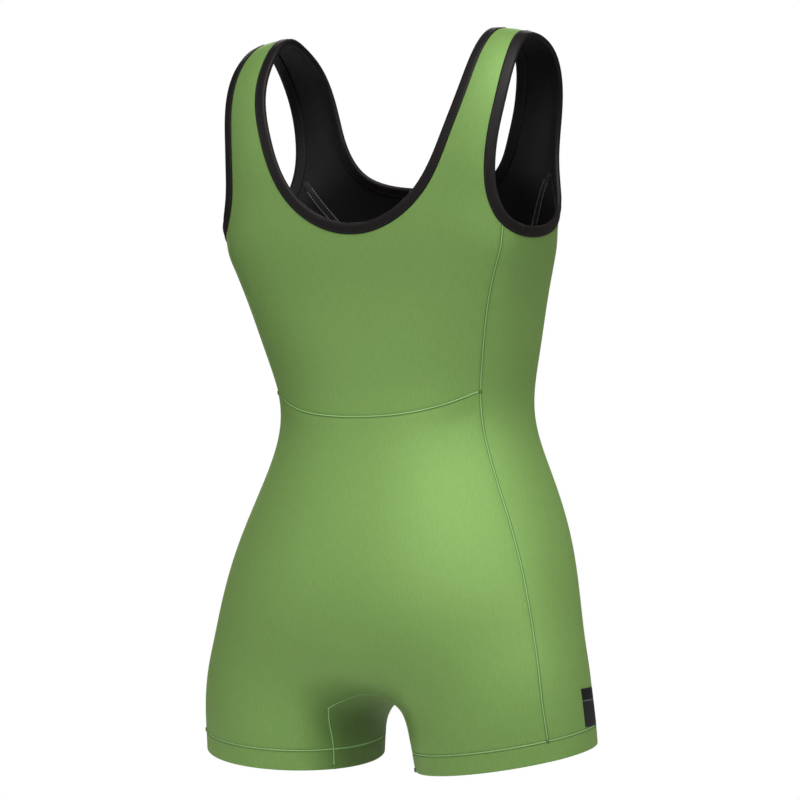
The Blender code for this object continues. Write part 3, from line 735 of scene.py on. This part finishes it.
def dart_path(side, start, stop):
    """The dart's places on the front, between two shares of its length."""
    path = []
    for step in range(DART_STEPS + 1):
        share = start + (stop - start) * step / DART_STEPS
        eye = Vector((side * (DART_OUT - DART_IN_BY * share), DART_FRONT, -DART_DOWN - DART_DOWN_BY * share))
        path.append(skin_tree.ray_cast(eye, Vector((0, 1, 0)))[0])
    return path


for side, end in ((1, "left"), (-1, "right")):
    sew("dart_seam_" + end, [dart_path(side, 0, 1)])
    sewn_line = Line(dart_path(side, *DART_ROW_SHARES), STITCH_PITCH)
    for sideways in (-DART_ROW_SIDE, DART_ROW_SIDE):
        stitch_row(dart_rows, sewn_line, sideways, DART_HEIGHT, DART_STITCH)
finish_piece("dart_rows", dart_rows, (grey_thread,))

# The bindings: strips of black knit tape folded over the neck's and armholes' raw edges and
# sewn down near the fold's far side, with the ends of an armhole's strip lapped at its bottom.
TAPE_OUTER = ((8.9, 0.04), (9.15, 0.35), (8.8, 0.75), (7.6, 0.92), (4.8, 1.02), (2.2, 1.2),
              (0.4, 1.18), (-0.6, 0.8), (-1.15, 0.05))
TAPE_FOLD = -1.32
TAPE_INNER = ((8.6, 0.02), (4.6, 0.08), (0.6, 0.12), (-0.3, -0.15))
TAPE_FOLD_INNER = -0.5
TAPE_PITCH = 0.004
TAPE_STITCH = (0.0010, 0.00032, 0.00028)
LAP_BACK = 0.035
LAP_BELOW = -0.16
LAP_RIDGES = (-0.0024, 0.0024)
LAP_HALF = 0.0007
LAP_PROUD = 0.32
TAPE_STITCH_PITCH = 0.0031
TAPE_STITCH_IN = 0.0074
TAPE_STITCH_RISE = 0.00096
TAPE_EASE = 0.003
RIM_PROBE = 0.005
COURSE_PITCH = 0.0009
COURSE_DEEP = 0.0002
TAPE_FLECK_DENSE = 1100.0
TAPE_SLOW_DENSE = 45.0
HALF_WALL = -WALL * 500


def both_faces(half, fold):
    """Half a tape's outline, round its fold, and down the cloth's other face."""
    return half + ((fold, HALF_WALL),) + tuple((s, 2 * HALF_WALL - h) for s, h in reversed(half))


TAPE = both_faces(TAPE_OUTER, TAPE_FOLD) + tuple(reversed(both_faces(TAPE_INNER, TAPE_FOLD_INNER)))


def grown(outline, by):
    """A tape's outline with its outer face moved out."""
    return tuple((s - by if s < 0 else s, h + by if h > HALF_WALL else h - by) for s, h in outline)


def tape_knit():
    """Black ribbed tape, brown in the light, with a rib along it."""
    material, tree, shader = new_material("binding_knit", Roughness=0.5, Specular_IOR_Level=0.18,
                                          Sheen_Weight=0.03, Sheen_Roughness=0.35,
                                          Sheen_Tint=(0.8, 0.7, 0.65, 1))
    flat = tree.node("UVMap", {"uv_map": "cloth"})
    space = tree.node("TexCoord", output="Object")
    course = tree.math("SINE", flat.part("Y") * (math.tau / COURSE_PITCH))
    fleck = tree.node("TexNoise", None, {"Vector": space, "Scale": TAPE_FLECK_DENSE, "Detail": 2.0}, "Fac")
    slow = tree.node("TexNoise", None, {"Vector": space, "Scale": TAPE_SLOW_DENSE, "Detail": 2.0}, "Fac")
    shade = fleck * 0.5 + slow * 0.5
    feed(shader, Base_Color=shade.mixed((0.003, 0.002, 0.002, 1), (0.008, 0.006, 0.0055, 1)))
    height = course * 0.3 + fleck
    bump = {"Strength": 0.4, "Distance": COURSE_DEEP, "Height": height}
    feed(shader, Normal=tree.node("Bump", None, bump))
    return material


binding_knit = tape_knit()
black_thread = thread("binding_thread", (0.006, 0.006, 0.006, 1), (0.022, 0.02, 0.02, 1), 0.5)


def tape_place(line, rim_side):
    """How a tape's outline stands on the rim: side is the way in from it."""
    def place(step, side, height):
        at = line.places[step] + line.across(step) * rim_side * side
        if side <= 0:
            return at + line.ups[step] * height
        foot, up = skin_at(at)
        near = min(side / TAPE_EASE, 1)
        up = (line.ups[step] * (1 - near) + up * near).normalized()
        return foot + up * height
    return place


def off_skin(line, side):
    """How far the points a little to one side of a rim lie from the skin, in all."""
    total = 0
    for step in range(line.steps):
        beside = line.places[step] + line.across(step) * RIM_PROBE * side
        total += (skin_at(beside)[0] - beside).length
    return total


def bind(name, rim, lapped):
    """A strip folded over a rim, with its stitching and, low at the back, the lap of its ends."""
    line = Line([vert.co for vert in rim], TAPE_PITCH)
    normals = [(line.ups[k - 1] + line.ups[k] * 2 + line.ups[(k + 1) % line.steps]).normalized()
               for k in range(line.steps)]
    line.ups = normals + normals[:1]
    rim_side = 1 if off_skin(line, 1) < off_skin(line, -1) else -1
    whole = swept(line, TAPE, tape_place(line, rim_side))
    rows = bmesh.new()
    sewn = Line([vert.co for vert in rim], TAPE_STITCH_PITCH)
    for height in (TAPE_STITCH_RISE, -WALL - TAPE_STITCH_RISE):
        stitch_row(rows, sewn, TAPE_STITCH_IN * rim_side, height, TAPE_STITCH)
    for face in rows.faces:
        face.material_index = 1
    carry(rows, whole)
    if lapped:
        low = [k for k in range(line.steps) if line.places[k].z < LAP_BELOW]
        near = min(low, key=lambda k: abs(line.places[k].y - LAP_BACK))
        for slide in LAP_RIDGES:
            middle = line.places[near] + line.alongs[near] * slide
            half = line.alongs[near] * LAP_HALF
            short = Line([middle - half, middle, middle + half], LAP_HALF)
            short.ups = [line.ups[near]] * (short.steps + 1)
            carry(swept(short, grown(TAPE, LAP_PROUD), tape_place(short, rim_side)), whole)
    return finish_piece(name + "_tape", whole, (binding_knit, black_thread), (name,))


NECK_HALF = 0.03
for rim in ordered([edge for edge in skin.edges if edge.is_boundary]):
    middle = sum((vert.co for vert in rim), Vector()) / len(rim)
    if middle.z < HEM_BELOW:
        continue
    name = "neck_binding"
    if abs(middle.x) > NECK_HALF:
        name = "armhole_binding_" + ("left" if middle.x > 0 else "right")
    bind(name, rim, name != "neck_binding")

# The label: a small woven patch sewn flat on the right leg above the band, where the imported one
# is, black at the top, a thin pale line, then charcoal. Its lettering is left out.
LABEL_WIDE = 0.032
LABEL_HIGH = 0.035
LABEL_LEAN = 0.003
LABEL_SQUARES = 16
LABEL_THICK = 0.0006
LABEL_SUNK = 0.0002
LABEL_OUTSIDE = -0.25
LABEL_INSET = 0.6
LABEL_SIDE_STEPS = 12
LABEL_STITCH_PITCH = 0.0024
LABEL_STITCH_RISE = 0.0001
LABEL_STITCH = (0.0007, 0.00025, 0.0002)
WEFT_PITCH = 0.0006
WEFT_DEEP = 0.0001
LABEL_FLECK_DENSE = 1500.0
label_low, label_high = (Vector(corner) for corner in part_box("label"))
label_middle = (label_low + label_high) / 2


def label_place(i, j, height):
    """A place on the label from its top left corner, above the skin."""
    right, down = i / LABEL_SQUARES - 0.5, j / LABEL_SQUARES - 0.5
    y = label_middle.y - LABEL_WIDE * right - LABEL_LEAN * down
    z = label_middle.z - LABEL_HIGH * down
    hit = skin_tree.ray_cast(Vector((LABEL_OUTSIDE, y, z)), Vector((1, 0, 0)))[0]
    place, up = skin_at(hit)
    return place + up * height


def woven_label():
    """Damask weave in two greys with a pale line between, and a woven-in fine grain."""
    material, tree, shader = new_material("label_weave", Roughness=0.6, Specular_IOR_Level=0.2)
    flat = tree.node("UVMap", {"uv_map": "cloth"})
    space = tree.node("TexCoord", output="Object")
    fleck = tree.node("TexNoise", None, {"Vector": space, "Scale": LABEL_FLECK_DENSE, "Detail": 1.0}, "Fac")
    weft = tree.math("SINE", flat.part("Y") * (math.tau / WEFT_PITCH))
    black_part, grey_part = (0.003, 0.003, 0.003, 1), (0.013, 0.012, 0.013, 1)
    stops = ((0.0, black_part), (0.30, black_part), (0.32, (0.2, 0.2, 0.2, 1)), (0.335, grey_part),
             (1.0, grey_part))
    bands = tree.node("ValToRGB", {"stops": stops}, {0: flat.part("Y") * (1 / LABEL_HIGH)}, "Color")
    speck = (fleck * 0.5 + weft * 0.06).mixed((0.6, 0.6, 0.6, 1), (1.4, 1.4, 1.4, 1))
    shade = tree.node("Mix", {"data_type": "RGBA", "blend_type": "MULTIPLY"},
                      {0: 1.0, 6: bands, 7: speck}, 2)
    feed(shader, Base_Color=shade)
    height = weft * 0.4 + fleck
    bump = {"Strength": 0.4, "Distance": WEFT_DEEP, "Height": height}
    feed(shader, Normal=tree.node("Bump", None, bump))
    return material


patch = bent_grid(LABEL_SQUARES, LABEL_SQUARES, lambda i, j: label_place(i, j, LABEL_THICK),
                  (LABEL_HIGH / LABEL_SQUARES, LABEL_HIGH / LABEL_SQUARES))
patch.normal_update()
made = bmesh.ops.extrude_face_region(patch, geom=patch.faces[:], use_keep_orig=True)["geom"]
for item in made:
    if isinstance(item, bmesh.types.BMVert):
        item.co -= skin_at(item.co)[1] * (LABEL_THICK + LABEL_SUNK)
bmesh.ops.recalc_face_normals(patch, faces=patch.faces)
edge_stitches = bmesh.new()
near, far = LABEL_INSET, LABEL_SQUARES - LABEL_INSET
corners = ((near, near), (far, near), (far, far), (near, far), (near, near))
round_label = []
for (i, j), (p, q) in zip(corners, corners[1:]):
    for step in range(LABEL_SIDE_STEPS):
        right = i + (p - i) * step / LABEL_SIDE_STEPS
        down = j + (q - j) * step / LABEL_SIDE_STEPS
        round_label.append(label_place(right, down, 0))
round_label.append(round_label[0])
label_edge = Line(round_label, LABEL_STITCH_PITCH)
stitch_row(edge_stitches, label_edge, 0, LABEL_THICK + LABEL_STITCH_RISE, LABEL_STITCH)
for face in edge_stitches.faces:
    face.material_index = 1
carry(edge_stitches, patch)
label_piece = finish_piece("label_patch", patch, (woven_label(), black_thread), ("label",))
